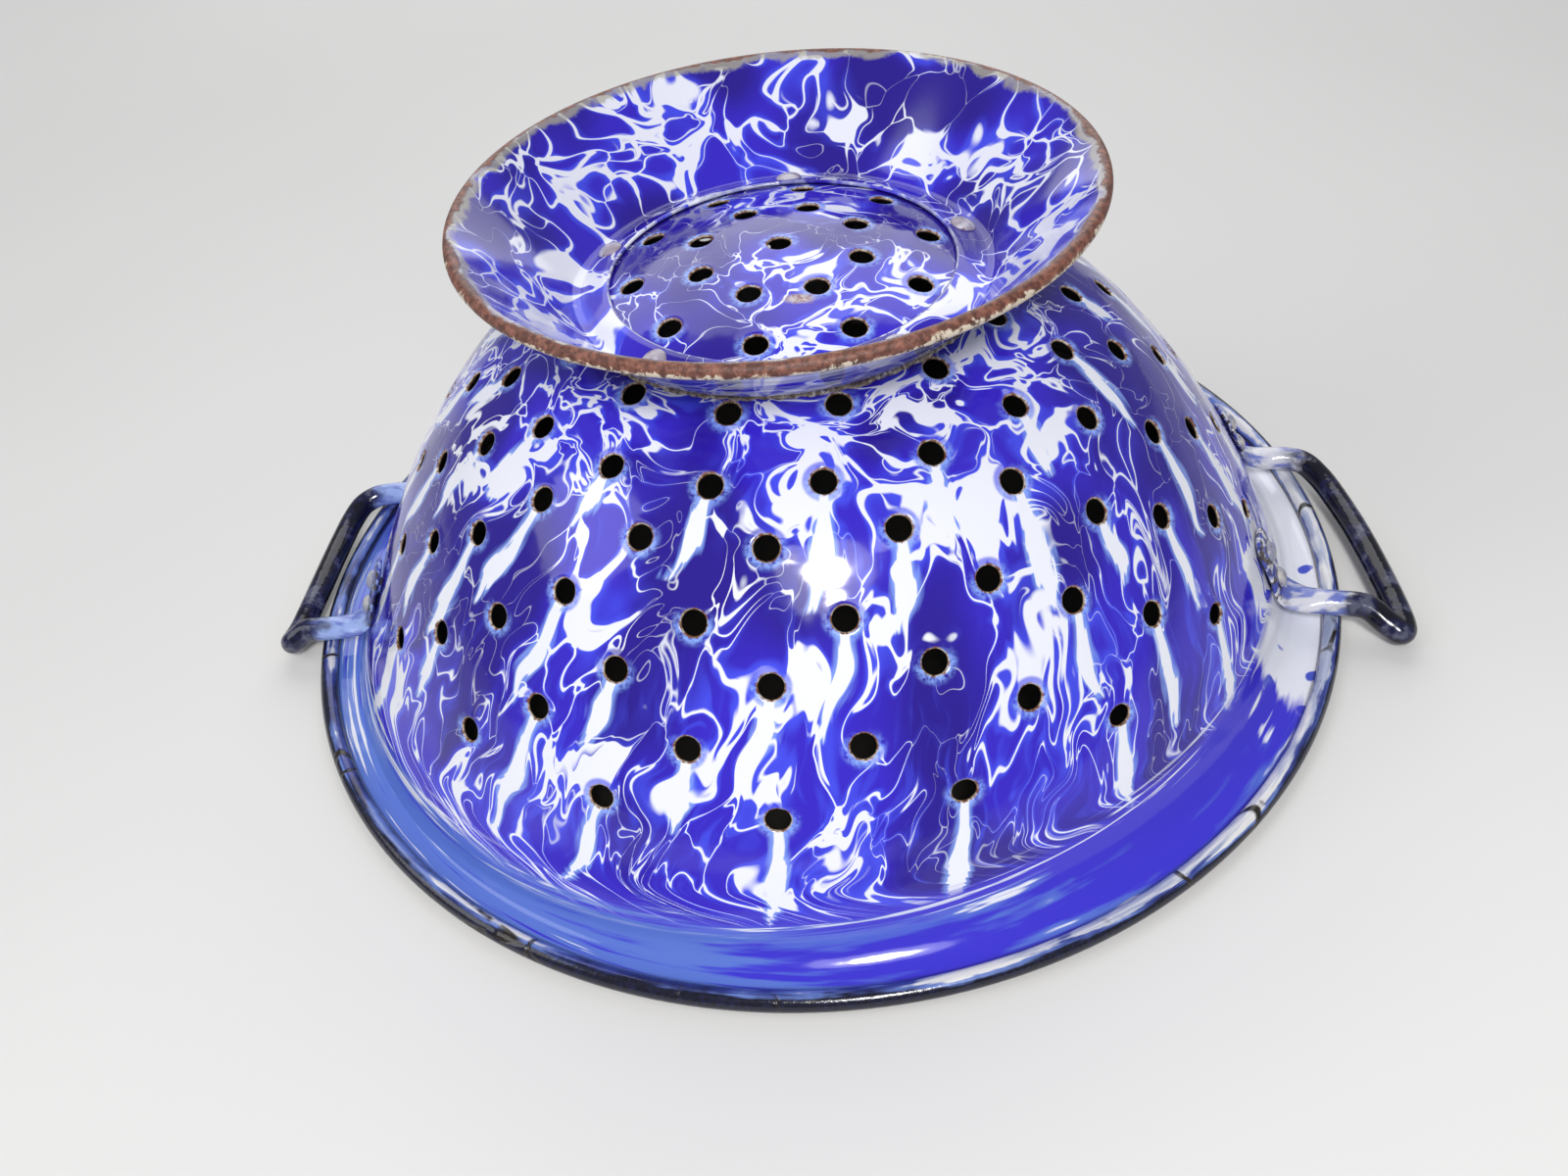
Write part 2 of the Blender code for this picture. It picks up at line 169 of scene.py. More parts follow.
class Patches:
    """Grids of vertices gathered into one mesh, with what its material reads at each corner."""

    def __init__(self):
        self.points, self.faces, self.uvs, self.paints = [], [], [], []
        self.facts = {}
        self.count = 0

    def add(self, points, uvs, paint, close=False, **facts):
        """A grid of points (rows x columns): each face joins row i to i + 1 and column j to
        j + 1, and the last column to the first if it closes."""
        rows, columns = points.shape[:2]
        index = self.count + np.arange(rows * columns).reshape(rows, columns)
        if close:
            index = np.concatenate([index, index[:, :1]], axis=1)
        quads = np.stack([index[:-1, :-1], index[1:, :-1], index[1:, 1:], index[:-1, 1:]], axis=-1)
        self.points.append(points.reshape(-1, 3))
        self.faces.append(quads.reshape(-1, 4))
        self.uvs.append(np.broadcast_to(uvs, (rows, columns, 2)).reshape(-1, 2))
        self.paints.append(np.full(quads.size // 4, paint))
        for name, values in facts.items():
            self.facts.setdefault(name, []).append(np.broadcast_to(values, (rows, columns)).ravel())
        self.count += rows * columns

    def piece(self, name, materials):
        """Merges points that coincide, turns the faces outwards and makes the object."""
        points, faces = np.concatenate(self.points), np.concatenate(self.faces)
        uvs = np.concatenate(self.uvs)
        keys = np.round(points / 1e-7).astype(np.int64)
        _, first, same = np.unique(keys, axis=0, return_index=True, return_inverse=True)
        merged = same.reshape(-1)[faces]
        corners = points[first][merged]
        turned = np.cross(corners[:, 2] - corners[:, 0], corners[:, 3] - corners[:, 1])
        if np.sum(turned * corners.mean(axis=1)) < 0:
            merged, faces = merged[:, ::-1], faces[:, ::-1]
        keep = merged != np.roll(merged, -1, axis=1)
        mesh = bpy.data.meshes.new(name)
        mesh.from_pydata(points[first], [], [face[kept] for face, kept in zip(merged, keep)])
        mesh.uv_layers.new(name="local").uv.foreach_set("vector", uvs[faces[keep]].ravel())
        for fact, values in self.facts.items():
            layer = mesh.attributes.new(fact, "FLOAT", "POINT")
            layer.data.foreach_set("value", np.concatenate(values)[first].astype(np.float32))
        mesh.polygons.foreach_set("material_index", np.concatenate(self.paints))
        mesh.polygons.foreach_set("use_smooth", np.ones(len(merged), dtype=bool))
        for material in materials:
            mesh.materials.append(material)
        mesh.update()
        piece = bpy.data.objects.new(name, mesh)
        bpy.context.scene.collection.objects.link(piece)
        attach(piece, "root")
        return piece


def run_to(radius):
    """Distance down the sheet from the pole to this distance from the axis."""
    rows = int(FILLET_STATION)
    return np.interp(radius, TIGHT_PROFILE[:rows, 0], RUN[:rows])


def cell_edge(first, last, low, high):
    """Columns and stations round a cell's border, once about, from its low right corner."""
    across = np.arange(first, last)
    up = np.linspace(low, high, CELL_SIDE + 1)[:-1]
    columns = np.concatenate([across, np.full(CELL_SIDE, last), across[::-1] + 1,
                              np.full(CELL_SIDE, first)])
    stations = np.concatenate([np.full(len(across), low), up, np.full(len(across), high),
                               (low + high) - up])
    return columns, stations


def punched_cell(patches, hole_azimuth, hole_run, first, last, low, high):
    """Sheet round one hole.  Rays run from the hole's circle to the border of its cell, over
    the outside, round the rim of the hole and back under the inside."""
    columns, stations = cell_edge(first, last, low, high)
    border_run = np.interp(stations, STATION, RUN)
    border_radius = np.interp(stations, STATION, TIGHT_PROFILE[:, 0])
    across = (columns * 2 * np.pi / AROUND - hole_azimuth) * border_radius
    along = border_run - hole_run
    reach = np.hypot(across, along)
    direction = np.stack([across, along], axis=-1) / reach[:, None]
    half = SHEET / 2
    start = HOLE_RADIUS + half
    outer = start + CELL_ROWS[::-1, None] * (reach - start)
    lip = HOLE_LIP * np.exp(-((outer - start - LIP_MIDDLE) / LIP_WIDTH) ** 2)
    edge = HOLE_RADIUS + half * (1 - np.sin(EDGE_TURN))[:, None] + 0 * reach
    inner = start + INNER_ROWS[:, None] * (reach - start)
    away = np.concatenate([outer, edge, inner])
    depth = np.concatenate([-lip, half * (1 - np.cos(EDGE_TURN))[:, None] + 0 * reach,
                            SHEET + 0 * inner])
    side = direction[None] * away[..., None]
    run = hole_run + side[..., 1]
    station = np.interp(run, RUN, STATION)
    azimuth = hole_azimuth + side[..., 0] / np.interp(run, RUN, TIGHT_PROFILE[:, 0])
    points = on_bowl(azimuth, station, depth)
    points[0], points[-1] = [
        on_bowl(columns * 2 * np.pi / AROUND, stations, d) for d in (0.0, SHEET)]
    add_sheet(patches, points, side / MM, run, depth, len(outer) + len(edge))


def add_sheet(patches, points, uvs, run, depth, outside_rows, inside_paint=1):
    """Adds rows that go over the outside and back under the inside, as two paints."""
    depth_share = np.clip(depth / SHEET, 0, 1)
    for rows, paint in ((slice(0, outside_rows), 0), (slice(outside_rows - 1, None), inside_paint)):
        patches.add(points[rows], uvs[rows], paint, close=True,
                    along=run[rows] / MM, depth=depth_share[rows])


def middle_cell(patches, last_station):
    """Sheet round the hole on the axis: rings from the hole out to the first cells."""
    azimuth = -np.arange(AROUND) * 2 * np.pi / AROUND
    reach = np.interp(last_station, STATION, RUN)
    half = SHEET / 2
    start = HOLE_RADIUS + half
    outer = start + CELL_ROWS[::-1] * (reach - start)
    edge = HOLE_RADIUS + half * (1 - np.sin(EDGE_TURN))
    run = np.concatenate([outer, edge, start + INNER_ROWS * (reach - start)])[:, None] + 0 * azimuth
    depth = np.concatenate([0 * outer, half * (1 - np.cos(EDGE_TURN)), SHEET + 0 * INNER_ROWS])
    depth = depth[:, None] + 0 * azimuth
    station = np.interp(run, RUN, STATION)
    station[0], station[-1] = last_station, last_station
    points = on_bowl(azimuth[None], station, depth)
    uvs = np.stack([run * np.cos(azimuth), run * np.sin(azimuth)], axis=-1) / MM
    add_sheet(patches, points, uvs, run, depth, len(outer) + len(edge))


def row_stations(first, *stretches):
    """Stations from the first on, each stretch reaching its end in equal steps."""
    rows = [np.array([first])]
    for end, steps in stretches:
        rows.append(np.linspace(rows[-1][-1], end, steps + 1)[1:])
    return np.concatenate(rows)


def bowl_patches():
    """All cells ring by ring, then the plain foot of the wall, the flange and the curl."""
    patches = Patches()
    ring_run = run_to([ring[0] for ring in HOLE_RINGS])
    border_run = np.append((ring_run[1:] + ring_run[:-1]) / 2, ring_run[-1] + LAST_CELL_REACH)
    border_run = np.insert(border_run, 0, ring_run[0] / 2 + MIDDLE_CELL_SHIFT)
    borders = np.interp(border_run, RUN, STATION)
    middle_cell(patches, borders[0])
    for (_, count, first_hole), run, low, high in zip(HOLE_RINGS, ring_run, borders, borders[1:]):
        holes = np.radians(first_hole) + 2 * np.pi * np.arange(count) / count
        edges = np.round((holes - np.pi / count) * AROUND / (2 * np.pi)).astype(int)
        edges = np.append(edges, edges[0] + AROUND)
        for hole, first, last in zip(holes, edges, edges[1:]):
            punched_cell(patches, hole, run, first, last, low, high)
    azimuth = np.arange(AROUND) * 2 * np.pi / AROUND
    wall, fillet, flange = borders[-1], FILLET_STATION, FLANGE_STATION
    curl, end = CURL_STATION, LAST_STATION
    outside = row_stations(wall, (fillet, 12), (flange, 7), (curl, 4), (end, 14))
    inside = row_stations(end, (curl, CURL_ROWS - 1), (flange, 3), (fillet, 4), (wall, 7))
    half = SHEET / 2
    turn = EDGE_TURN[:3]
    station = np.concatenate([outside, np.full(len(turn), end), inside])[:, None] + 0 * azimuth
    depth = np.concatenate([0 * outside, half * (1 - np.cos(turn)), SHEET + 0 * inside])
    depth = depth[:, None] + 0 * azimuth
    points = on_bowl(azimuth[None], station, depth)
    tip = WIDE_PROFILE[-1, 2] + np.pi / 2
    past = np.zeros(len(station))
    past[len(outside):len(outside) + len(turn)] = half * np.sin(turn)
    spoke = np.stack([np.cos(azimuth) * np.sin(tip), np.sin(azimuth) * np.sin(tip),
                      np.cos(tip) + 0 * azimuth], axis=-1)
    points = points + past[:, None, None] * spoke[None]
    run = np.interp(station, STATION, RUN)
    far = np.array([0.0, FAR_FROM_HOLES])
    rows = len(outside)
    share = np.clip(depth / SHEET, 0, 1)
    bead_rows = rows + len(turn) + CURL_ROWS
    for first, last, paint in ((0, rows, 0), (rows - 1, bead_rows, 2), (bead_rows - 1, None, 1)):
        part = slice(first, last)
        patches.add(points[part], far, paint, close=True, along=run[part] / MM, depth=share[part])
    return patches


class Wire:
    """One output in a node material.  Arithmetic on it adds Math nodes."""

    def __init__(self, finish, socket):
        self.finish, self.socket = finish, socket

    def math(self, operation, *others):
        """Math node whose first value is this output."""
        return self.finish.node("Math", {"operation": operation}, dict(enumerate((self, *others))))

    def __add__(self, other):
        return self.math("ADD", other)

    def __sub__(self, other):
        return self.math("SUBTRACT", other)

    def __rsub__(self, other):
        return self.finish.node("Math", {"operation": "SUBTRACT"}, {0: other, 1: self})

    def __mul__(self, other):
        return self.math("MULTIPLY", other)

    def __truediv__(self, other):
        return self.math("DIVIDE", other)

    __radd__, __rmul__ = __add__, __mul__


class Finish:
    """A material on one Principled shader, and the ways to add nodes to it."""

    def __init__(self, name):
        self.material = bpy.data.materials.new(name)
        self.material.use_nodes = True
        self.tree = self.material.node_tree
        self.shader = self.tree.nodes["Principled BSDF"]
        self.here = self.node("TexCoord", output="Object")

    def node(self, kind, settings=None, inputs=None, output=0):
        node = self.tree.nodes.new("ShaderNode" + kind)
        for key, value in (settings or {}).items():
            setattr(node, key, value)
        for key, value in (inputs or {}).items():
            if isinstance(value, Wire):
                self.tree.links.new(value.socket, node.inputs[key])
            else:
                node.inputs[key].default_value = value
        return Wire(self, node.outputs[output])

    def vector(self, operation, *values, scale=None, output=0):
        inputs = dict(enumerate(values))
        if scale is not None:
            inputs["Scale"] = scale
        return self.node("VectorMath", {"operation": operation}, inputs, output)

    def noise(self, point, size, detail=2.0, roughness=0.5, output=0):
        inputs = {"Vector": point, "Scale": 1.0 / size, "Detail": detail, "Roughness": roughness}
        return self.node("TexNoise", {}, inputs, output)

    def cells(self, point, size, feature="F1"):
        return self.node("TexVoronoi", {"feature": feature}, {"Vector": point, "Scale": 1.0 / size})

    def step(self, value, low, high):
        """Smooth rise from 0 where the value is low to 1 where it is high."""
        return self.node("MapRange", {"interpolation_type": "SMOOTHSTEP"},
                         {0: value, 1: low, 2: high, 3: 0.0, 4: 1.0})

    def blend(self, share, first, second):
        """Colour that goes from the first to the second with the share."""
        first, second = [c if isinstance(c, Wire) else (*c, 1.0) for c in (first, second)]
        return self.node("Mix", {"data_type": "RGBA"}, {0: share, 6: first, 7: second}, 2)

    def attribute(self, name):
        return self.node("Attribute", {"attribute_name": name}, output="Fac")

    def part(self, vector, axis):
        """One coordinate of a vector."""
        return self.node("SeparateXYZ", {}, {0: vector}, axis)

    def round_axis(self, spoke, reach, level):
        """Point a reach out along the spoke and a level up, for a pattern that runs round the axis."""
        raised = self.node("CombineXYZ", {}, {2: level})
        return self.vector("ADD", self.vector("SCALE", spoke, scale=reach), raised)

    def finish(self, colour, roughness, height=None, bump=0.0, **fixed):
        for socket, value in (("Base Color", colour), ("Roughness", roughness)):
            if isinstance(value, Wire):
                self.tree.links.new(value.socket, self.shader.inputs[socket])
            else:
                self.shader.inputs[socket].default_value = value
        if height is not None:
            normal = self.node("Bump", {}, {"Strength": 1.0, "Distance": bump, "Height": height})
            self.tree.links.new(normal.socket, self.shader.inputs["Normal"])
        for socket, value in fixed.items():
            self.shader.inputs[socket.replace("_", " ")].default_value = value
        return self.material


DEEP_COBALT = (0.020, 0.008, 0.24)
COBALT = (0.036, 0.018, 0.50)
BRIGHT_BLUE = (0.060, 0.085, 0.80)
PALE_BLUE = (0.24, 0.38, 0.85)
WHITE_ENAMEL = (0.78, 0.79, 0.86)
RUST = (0.16, 0.055, 0.020)
CREAM = (0.62, 0.54, 0.42)


def pushed_by_noise(f, point, size, distance, detail=0.0):
    """The point moved by a noise of this size, up to half the distance on each axis, and the
    noise itself, from -0.5 to 0.5."""
    push = f.vector("SUBTRACT", f.noise(point, size, detail, output=1), (0.5, 0.5, 0.5))
    return f.vector("ADD", point, f.vector("SCALE", push, scale=distance)), push


def swirl(f, point, pools, calm, size=13.5 * MM, seed=0.0, rippled=0.55):
    """White web between rounded blue cells.  The point is pushed about by three sizes of
    noise; white fills what is further than a set reach from every cell's centre, with
    threads where two centres are equally near and blue drops let into the white.  Gives
    the white share, the pale glow beside it and a slow noise."""
    moved = f.vector("ADD", point, (seed, 2.3 * seed, 1.7 * seed))
    pushed, push = pushed_by_noise(f, moved, 1.9 * size, 2.9 * size, 1.0)
    curled, curl = pushed_by_noise(f, pushed, 0.85 * size, 1.25 * size)
    bent, _ = pushed_by_noise(f, curled, 0.42 * size, rippled * size)
    near = f.cells(bent, size)
    gap = f.cells(bent, size, "F2") - near
    slow = f.noise(moved, 2.4 * size, 1.0)
    reach = 0.90 - f.step(slow, 0.44, 0.64) * 0.20 - pools * 0.27 + calm * 0.15
    pool = f.step(near - reach, -0.012, 0.03)
    width = f.step(slow, 0.38, 0.60) * (1 - calm) * 0.085 + pools * 0.05
    thread = 1 - f.step(gap - width, -0.02, 0.02)
    beside = (near - reach + 0.13).math("ABSOLUTE")
    echo = (1 - f.step(beside, 0.0, 0.028)) * f.step(f.part(push, 2), 0.0, 0.06)
    white = pool.math("MAXIMUM", thread).math("MAXIMUM", echo * (1 - calm))
    drop = f.cells(curled, 0.62 * size)
    drops = (1 - f.step(drop, 0.30, 0.34)) * f.step(f.part(curl, 2), -0.08, 0.02)
    white = white * (1 - drops * f.step(near - reach, 0.04, 0.12))
    glow = f.step(near - reach, -0.30, 0.0) * f.step(slow, 0.30, 0.58)
    glow = glow.math("MAXIMUM", (1 - f.step(gap - width, 0.0, 0.16)) * f.step(slow, 0.40, 0.56))
    return white, glow, slow


# Where the white gathers, and where the blue is left plain: azimuth and distance down
# the sheet from the pole, and the size of the patch.
WHITE_PATCHES = (
    (-58, 57, 12), (-57, 84, 14), (-65, 67, 12), (-97, 89, 9), (-114, 98, 10), (-152, 83, 15),
    (-75, 101, 9), (-88, 108, 9), (-56, 104, 10), (-40, 48, 11), (-14, 146, 15), (-111, 128, 9),
    (-91, 124, 8), (30, 80, 14), (75, 110, 16), (120, 70, 14), (160, 120, 15),
)
PLAIN_PATCHES = (
    (-128, 102, 12), (-80, 82, 10), (-43, 90, 13), (-95, 66, 8), (-35, 140, 15), (-110, 70, 8),
    (-20, 105, 14), (-48, 116, 12), (-62, 142, 12), (-30, 122, 11), (-44, 140, 10), (50, 130, 15),
    (100, 90, 14), (140, 95, 12), (-88, 146, 7), (-80, 139, 9), (-70, 148, 10), (-120, 140, 7),
)
FLANGE_BLUE = (0.11, 0.20, 0.60)
STAIN_PLACE = (5.5 * MM, -21.0 * MM, 95.0 * MM)


def patches_of(f, places):
    """Soft spots round the listed places: 1 in the middle of any of them, 0 away from all."""
    total = None
    for azimuth, run, size in places:
        centre = on_bowl(math.radians(azimuth), np.interp(run * MM, RUN, STATION))
        away = f.vector("DISTANCE", f.here, tuple(centre), output="Value")
        spot = 1 - f.step(away, 0.45 * size * MM, 1.15 * size * MM)
        total = spot if total is None else total.math("MAXIMUM", spot)
    return total


def hole_runs(f, azimuth, along, wobble, ragged):
    """Enamel that ran down from each hole of the wall: a tongue that swells below the hole and
    narrows to its end.  Length and lean differ from hole to hole, and about one hole in
    seven has none.  Gives the tongues and their white cores."""
    runs, cores = None, None
    for number, (radius, count, first) in enumerate(HOLE_RINGS[3:]):
        share = azimuth * (count / (2 * math.pi)) - first * count / 360
        nearest = share.math("ROUND")
        hole = nearest.math("FLOORED_MODULO", float(count))
        key = f.node("CombineXYZ", {}, {0: hole, 1: number + 0.5})
        draw = f.node("TexWhiteNoise", {}, {"Vector": key}, "Color")
        chance, other = f.part(draw, 0), f.part(draw, 1)
        below = along - (run_to(radius) / MM + 1.0)
        t = below / (chance * 16.0 + 11.0 + number * 1.8)
        spacing = 2 * math.pi / count * radius / MM
        across = (share - nearest) * spacing * (below * 0.0025 + 1.0) + wobble * (t * 8.0)
        across = across + ragged * (t + 0.25) * 5.0 + (other * 0.20 + 0.10) * below
        half_width = f.step(t, 0.10, 0.55) * 0.9 + 1.15 - f.step(t, 0.55, 1.0) * 1.7
        side = across.math("ABSOLUTE") - half_width
        fits = f.step(t, 0.0, 0.02) * (1 - f.step(t, 0.93, 1.0)) * f.step(other, 0.14, 0.15)
        run = (1 - f.step(side, -0.15, 1.3)) * fits
        core = (1 - f.step(side, -0.30, -0.05)) * fits
        runs = run if runs is None else runs.math("MAXIMUM", run)
        cores = core if cores is None else cores.math("MAXIMUM", core)
    return runs, cores


def bowl_enamel():
    f = Finish("cobalt_swirl_bowl")
    along = f.attribute("along")
    x, y = f.part(f.here, 0), f.part(f.here, 1)
    azimuth = y.math("ARCTAN2", x)
    radius = f.vector("LENGTH", f.vector("MULTIPLY", f.here, (1, 1, 0)), output="Value")
    # The wet enamel drained to one side: near the flange the pattern slides round to it.
    drained = f.step(along, 150, 166) * 0.22 + f.step(along, 80, 160) * 0.02
    sway = f.noise(f.vector("MULTIPLY", f.here, (1.0, 1.0, 1.3)), 13 * MM, 0.0) - 0.5
    lean = (along - 80.0) * f.step(along, 70, 100) * (1 - f.step(along, 152, 164)) * 0.0028
    slid = azimuth + azimuth.math("COSINE") * drained + lean + sway * f.step(along, 70, 130) * 0.085
    spoke = f.node("CombineXYZ", {}, {0: slid.math("COSINE"), 1: slid.math("SINE")})
    comb = f.noise(f.round_axis(spoke, 13.0, along * 0.016), 1.0, 1.0) - 0.5
    pulled = along - comb * f.step(along, 85.0, 165.0) * 120.0
    height = pulled * 0.80 - (pulled - 60.0) * (pulled - 60.0) * 0.0022
    on_wall = f.step(along, 40.0, 75.0)
    reach = (radius * 0.7 + 0.036) * on_wall + radius * (1 - on_wall)
    pools, calm = patches_of(f, WHITE_PATCHES), patches_of(f, PLAIN_PATCHES)
    low_calm = f.step(along, 85, 100) * 0.20 + f.step(along, 110, 140) * 0.30
    calm = calm.math("MAXIMUM", low_calm * (1 - pools))
    white, glow, slow = swirl(f, f.round_axis(spoke, reach, height * MM), pools, calm)
    cell_uv = f.node("UVMap", {"uv_map": "local"})
    gap = f.vector("LENGTH", cell_uv, output="Value") - HOLE_RADIUS / MM
    grain = f.noise(f.here, 1.1 * MM, 3.0, 0.7)
    streak = f.noise(f.round_axis(spoke, 45.0, along * 0.08), 1.0, 2.0)
    runs, cores = hole_runs(f, azimuth, along, sway, streak - 0.5)

    blue = f.blend(f.step(slow, 0.38, 0.60), DEEP_COBALT, COBALT)
    blue = f.blend(f.step(streak, 0.50, 0.75) * f.step(along, 90, 140) * 0.5, blue, BRIGHT_BLUE)
    blue = f.blend(glow * 0.75, blue, BRIGHT_BLUE)
    blue = f.blend(runs * 0.75, blue, PALE_BLUE)
    halo = (1 - f.step(gap, 0.5, 2.6)) * f.step(f.part(cell_uv, 1) + grain * 3.0, -2.0, 3.0)
    blue = f.blend(halo * f.step(grain, 0.30, 0.62), blue, PALE_BLUE)
    near_hole = 1 - f.step(gap, 1.2, 2.0)
    colour = f.blend(white * (1 - near_hole * 0.75), blue, WHITE_ENAMEL)
    colour = f.blend(cores, colour, WHITE_ENAMEL)

    # Flange: streaks drawn out round the rim, paler towards the front left as a painted reflection, and
    # a white stretch with blue drops by the right handle.
    band = f.noise(f.round_axis(spoke, 2.6, along * 0.9), 1.0, 3.0, 0.55)
    towards = [f.vector("DOT_PRODUCT", spoke, way, output="Value")
               for way in ((-0.72, -0.69, 0.0), (0.99, 0.13, 0.0), (-1.0, 0.0, 0.0))]
    painted_reflection_side, white_side, left_side = towards
    # real streaks, plus a painted reflection that makes the flange paler towards the front left
    streaks_and_painted_sheen = f.step(band + painted_reflection_side * 0.35, 0.62, 0.78)
    flange = f.blend(streaks_and_painted_sheen, (0.046, 0.034, 0.58), (0.085, 0.13, 0.62))
    # lighter near the bead all round, and more towards the front left as painted reflection
    edge = f.step(along, 162.5, 168.0) * 0.12 + f.step(painted_reflection_side, 0.45, 0.98) * 0.24
    flange = f.blend(f.step(band + edge, 0.62, 0.76) * 0.75, flange, FLANGE_BLUE)
    left_streaks = f.step(left_side, 0.88, 0.96) * f.step(band, 0.30, 0.50)
    flange = f.blend(left_streaks * 0.85, flange, FLANGE_BLUE)
    bare = f.step(white_side, 0.80, 0.93) * 0.12 + f.step(left_side, 0.90, 0.97) * 0.09
    flange = f.blend(f.step(band + bare, 0.66, 0.70), flange, WHITE_ENAMEL)
    bent = f.vector("SCALE", f.noise(f.here, 9 * MM, 0.0, output=1), scale=0.010)
    drop = f.cells(f.vector("ADD", f.here, bent), 11 * MM)
    spotted = f.blend(1 - f.step(drop, 0.26, 0.31), WHITE_ENAMEL, (0.06, 0.09, 0.55))
    flange = f.blend(f.step(white_side + (band - 0.5) * 0.10, 0.925, 0.94), flange, spotted)
    colour = f.blend(f.step(along + band * 6.0, 159.5, 164.0), colour, flange)
    sweep = f.step(band, 0.55, 0.60) * f.step(along, 155.0, 158.5) * (1 - f.step(along, 160.5, 163.5))
    colour = f.blend(sweep * 0.9, colour, WHITE_ENAMEL)

    # Wear: one stain by a hole of the dome and rust round every hole.  Down in each hole the sheet is
    # darkened to near black.
    stain_at = f.vector("MULTIPLY", f.vector("SUBTRACT", f.here, STAIN_PLACE), (0.45, 1.0, 0.0))
    stain_reach = f.vector("LENGTH", stain_at, output="Value") / MM + grain * 2.0
    stained = f.blend(f.step(grain, 0.4, 0.6), (0.30, 0.16, 0.07), CREAM)
    colour = f.blend((1 - f.step(stain_reach, 1.9, 3.0)) * 0.8, colour, stained)
    rust = 1 - f.step(gap + grain, 0.70, 1.0)
    colour = f.blend(rust, colour, f.blend(f.step(grain, 0.4, 0.65), RUST, CREAM))
    # darkens the sheet down in each hole to near black
    colour = f.blend(f.step(f.attribute("depth"), 0.20, 0.6), colour, (0.03, 0.018, 0.014))
    return f.finish(colour, rust * 0.45 + 0.09, f.noise(f.here, 7 * MM, 1.0), 0.10 * MM)


def painted_shade_inside_enamel():
    """Plain enamel of the inside, coloured dark grey as painted shade so that the holes look dark."""
    f = Finish("inside_enamel_painted_shade")
    cloud = f.noise(f.here, 18 * MM, 3.0)
    speck = f.step(f.noise(f.here, 1.5 * MM, 2.0, 0.7), 0.68, 0.74)
    # painted shade: the inside's white enamel is given a dark grey
    colour = f.blend(cloud, (0.17, 0.17, 0.17), (0.22, 0.22, 0.22))
    colour = f.blend(speck, colour, (0.12, 0.08, 0.06))
    return f.finish(colour, 0.14, cloud, 0.1 * MM)


def rim_enamel():
    """Black on the bead's outer side, worn through blue to a pale line on its top."""
    f = Finish("black_rim_enamel")
    height = f.part(f.here, 2) / MM
    flat_here = f.vector("MULTIPLY", f.here, (1, 1, 0))
    spoke = f.vector("NORMALIZE", flat_here)
    outside = f.vector("LENGTH", flat_here, output="Value") / MM - BEAD_CENTRE[0] / MM
    streak = f.noise(f.round_axis(spoke, 6.0, height * 0.45 - outside * 0.55), 1.0, 3.0, 0.6)
    patch = f.noise(f.vector("SCALE", spoke, scale=5.0), 1.0, 4.0, 0.65)
    fine = f.noise(f.here, 1.1 * MM, 3.0, 0.7)
    front = f.vector("DOT_PRODUCT", spoke, (0.88, -0.47, 0.0), output="Value")
    wear = height - outside * 0.45 + (patch - 0.5) * 3.0 + (streak - 0.5) * 2.2
    wear = wear + f.step(front, 0.45, 0.90) * 1.0
    worn = f.step(wear, 4.72, 5.0)
    black = f.blend(f.step(fine, 0.4, 0.7), (0.006, 0.006, 0.014), (0.013, 0.014, 0.045))
    blued = f.blend(f.step(streak, 0.42, 0.60), (0.035, 0.05, 0.24), (0.13, 0.20, 0.50))
    pale = f.blend(f.step(streak, 0.40, 0.60), (0.30, 0.34, 0.48), (0.70, 0.69, 0.68))
    colour = f.blend(worn, f.blend(f.step(wear, 3.9, 4.6), black, blued), pale)
    crack = f.cells(f.here, 1 / 38.0, "DISTANCE_TO_EDGE")
    chip = (1 - f.step(crack, 0.010, 0.025)) * f.step(patch, 0.50, 0.56)
    colour = f.blend(chip, colour, (0.02, 0.015, 0.012))
    return f.finish(colour, worn * 0.15 + 0.14, fine * 0.3 - chip, 0.2 * MM)


bowl = bowl_patches().piece("bowl_shell", [bowl_enamel(), painted_shade_inside_enamel(), rim_enamel()])
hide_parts("bowl")

# Rim wire.  A ring of drawn steel wire that stiffens the edge; the sheet is curled round
# it, so only a sliver shows in the open side of the curl.


def bare_steel():
    f = Finish("rusty_steel_wire")
    bloom = f.noise(f.here, 3 * MM, 4.0, 0.65)
    rusty = f.step(bloom, 0.45, 0.62)
    rust = f.blend(bloom, (0.20, 0.07, 0.03), (0.10, 0.04, 0.02))
    colour = f.blend(rusty, (0.20, 0.19, 0.18), rust)
    f.tree.links.new((1 - rusty).socket, f.shader.inputs["Metallic"])
    return f.finish(colour, rusty * 0.4 + 0.35, bloom, 0.15 * MM)


wire_steel = bare_steel()
for material_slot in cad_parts["rim_wire"].material_slots:
    material_slot.material = wire_steel

# Foot.  A flared ring spun from the same sheet: a flange that lies on the dome, a straight
# wall leaning out at 45 degrees and a lip curled outwards.  It has the same swirled
# enamel; the lip has worn through to rust.
GAP = 0.3 * MM
FOOT_FLANGE_INNER = 39.6 * MM
FOOT_CORNER = 45.3 * MM
FOOT_FILLET = 2.5 * MM
FOOT_FLARE = math.radians(45)
FOOT_BEAD_RADIUS = 1.6 * MM
FOOT_BEAD = np.array([69.6 * MM, 110.17 * MM])
FOOT_CURL_END = math.radians(220)
FOOT_AROUND = 288
FOOT_STRAIGHT_ROWS = 26


